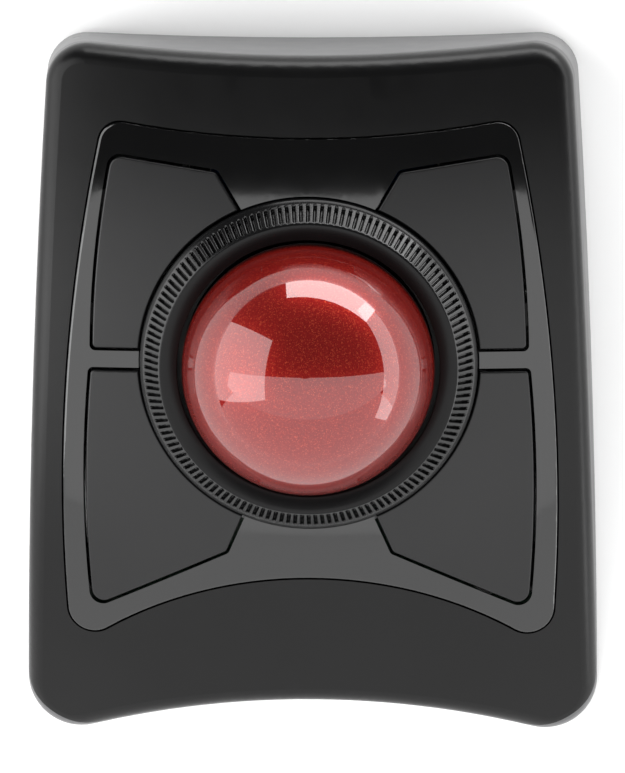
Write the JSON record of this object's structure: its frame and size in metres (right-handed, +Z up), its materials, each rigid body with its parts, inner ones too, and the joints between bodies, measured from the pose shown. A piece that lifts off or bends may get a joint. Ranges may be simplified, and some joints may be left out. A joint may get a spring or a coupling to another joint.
{
  "type": "trackball mouse",
  "caption": "Wedge-shaped desktop trackball mouse: red ball in a knurled scroll ring, two pairs of sprung buttons, black shell over a grey base with a battery bay.",
  "frame": {"origin": "under the middle of the case, on the plane of the feet", "axes": "+Z up from the desk, +Y to the back of the device, +X to the user's right"},
  "size_m": [0.131, 0.1593, 0.065],
  "materials": {
    "soft_black": "soft-touch matte",
    "gloss_black": "high gloss",
    "button_grey": "satin",
    "silver_grey": "fine metallic paint on plastic",
    "ring_black": "satin, knurled",
    "ball_red": "pearlescent under clear gloss",
    "ceramic": "polished",
    "inner_black": "as moulded",
    "lens_clear": "clear",
    "chip_black": "as moulded",
    "board_green": "solder mask",
    "steel": "plain",
    "cell_wrap": "printed film, no lettering",
    "foot_rubber": "matte",
    "plunger_red": "as moulded"
  },
  "bodies": {
    "chassis": {"top_shell": "soft_black", "button_bezel": "gloss_black", "button_hinge_pins": "steel", "base_case": "silver_grey", "ball_socket": "inner_black", "socket_bearings": "ceramic", "ring_retainer": "inner_black", "sensor_lens": "lens_clear", "optical_sensor": "chip_black", "sensor_board": "board_green", "ring_sensor": "chip_black", "ring_sensor_board": "board_green", "ring_sensor_post": "inner_black", "main_board": "board_green", "riser_board_left": "board_green", "riser_board_right": "board_green", "upper_left_switch": "chip_black", "upper_right_switch": "chip_black", "lower_left_switch": "chip_black", "lower_right_switch": "chip_black", "controller_chip": "chip_black", "radio_module": "steel", "supply_capacitor": "steel", "front_cell": "cell_wrap", "rear_cell": "cell_wrap", "battery_contacts": "steel", "battery_springs": "steel", "door_hinge_pin": "steel", "power_switch_body": "chip_black", "pair_switch": "chip_black", "rubber_feet": "foot_rubber", "case_screws": "steel"},
    "ball": {"trackball": "ball_red"},
    "ring": {"scroll_ring": "ring_black", "encoder_skirt": "inner_black"},
    "upper_left_button": {"upper_left_button": "button_grey"},
    "upper_left_plunger": {"upper_left_plunger": "plunger_red"},
    "upper_right_button": {"upper_right_button": "button_grey"},
    "upper_right_plunger": {"upper_right_plunger": "plunger_red"},
    "lower_left_button": {"lower_left_button": "button_grey"},
    "lower_left_plunger": {"lower_left_plunger": "plunger_red"},
    "lower_right_button": {"lower_right_button": "button_grey"},
    "lower_right_plunger": {"lower_right_plunger": "plunger_red"},
    "battery_door": {"battery_door": "silver_grey"},
    "power_switch": {"power_switch_knob": "inner_black"},
    "pair_button": {"pair_button": "inner_black"},
    "receiver": {"receiver_housing": "soft_black", "receiver_plug": "steel"}
  },
  "joints": [
    {"name": "ball_roll", "type": "hinge", "parent": "chassis", "child": "ball", "pos_m": [0, 0.007, 0.0375], "axis": [1, 0, 0], "continuous": true},
    {"name": "ring_spin", "type": "hinge", "parent": "chassis", "child": "ring", "pos_m": [0, 0.007, 0.0375], "axis": [0, -0.1305, 0.9914], "continuous": true},
    {"name": "upper_left_press", "type": "hinge", "parent": "chassis", "child": "upper_left_button", "pos_m": [-0.0506, 0.0305, 0.02509], "axis": [0, 0.9983, 0.0589], "range_deg": [0, 1.4], "stiffness_Nm_per_rad": 1.2, "springref_deg": -1.72},
    {"name": "upper_left_click", "type": "slide", "parent": "chassis", "child": "upper_left_plunger", "axis": [0, 0, -1], "range_m": [0, 0.0004]},
    {"name": "upper_right_press", "type": "hinge", "parent": "chassis", "child": "upper_right_button", "pos_m": [0.0506, 0.0305, 0.02509], "axis": [0, -0.9983, -0.0589], "range_deg": [0, 1.4], "stiffness_Nm_per_rad": 1.2, "springref_deg": -1.72},
    {"name": "upper_right_click", "type": "slide", "parent": "chassis", "child": "upper_right_plunger", "axis": [0, 0, -1], "range_m": [0, 0.0004]},
    {"name": "lower_left_press", "type": "hinge", "parent": "chassis", "child": "lower_left_button", "pos_m": [-0.0506, -0.022, 0.01752], "axis": [0, 0.9741, 0.2261], "range_deg": [0, 1.4], "stiffness_Nm_per_rad": 1.2, "springref_deg": -1.72},
    {"name": "lower_left_click", "type": "slide", "parent": "chassis", "child": "lower_left_plunger", "axis": [0, 0, -1], "range_m": [0, 0.00031]},
    {"name": "lower_right_press", "type": "hinge", "parent": "chassis", "child": "lower_right_button", "pos_m": [0.0506, -0.022, 0.01752], "axis": [0, -0.9741, -0.2261], "range_deg": [0, 1.4], "stiffness_Nm_per_rad": 1.2, "springref_deg": -1.72},
    {"name": "lower_right_click", "type": "slide", "parent": "chassis", "child": "lower_right_plunger", "axis": [0, 0, -1], "range_m": [0, 0.00031]},
    {"name": "battery_door_hinge", "type": "hinge", "parent": "chassis", "child": "battery_door", "pos_m": [0, 0.0415, 0.0026], "axis": [-1, 0, 0], "range_deg": [0, 90]},
    {"name": "power_slide", "type": "slide", "parent": "chassis", "child": "power_switch", "axis": [1, 0, 0], "range_m": [0, 0.004]},
    {"name": "pair_press", "type": "slide", "parent": "chassis", "child": "pair_button", "axis": [0, 0, 1], "range_m": [0, 0.0005], "stiffness_N_per_m": 400, "springref_m": -0.0005},
    {"name": "receiver_slide", "type": "slide", "parent": "chassis", "child": "receiver", "axis": [0, 0, -1], "range_m": [0, 0.012]}
  ],
  "couplings": [
    {"joint": "upper_left_click", "follows": "upper_left_press", "m_per_rad": 0.01607},
    {"joint": "upper_right_click", "follows": "upper_right_press", "m_per_rad": 0.01607},
    {"joint": "lower_left_click", "follows": "lower_left_press", "m_per_rad": 0.01227},
    {"joint": "lower_right_click", "follows": "lower_right_press", "m_per_rad": 0.01227}
  ]
}
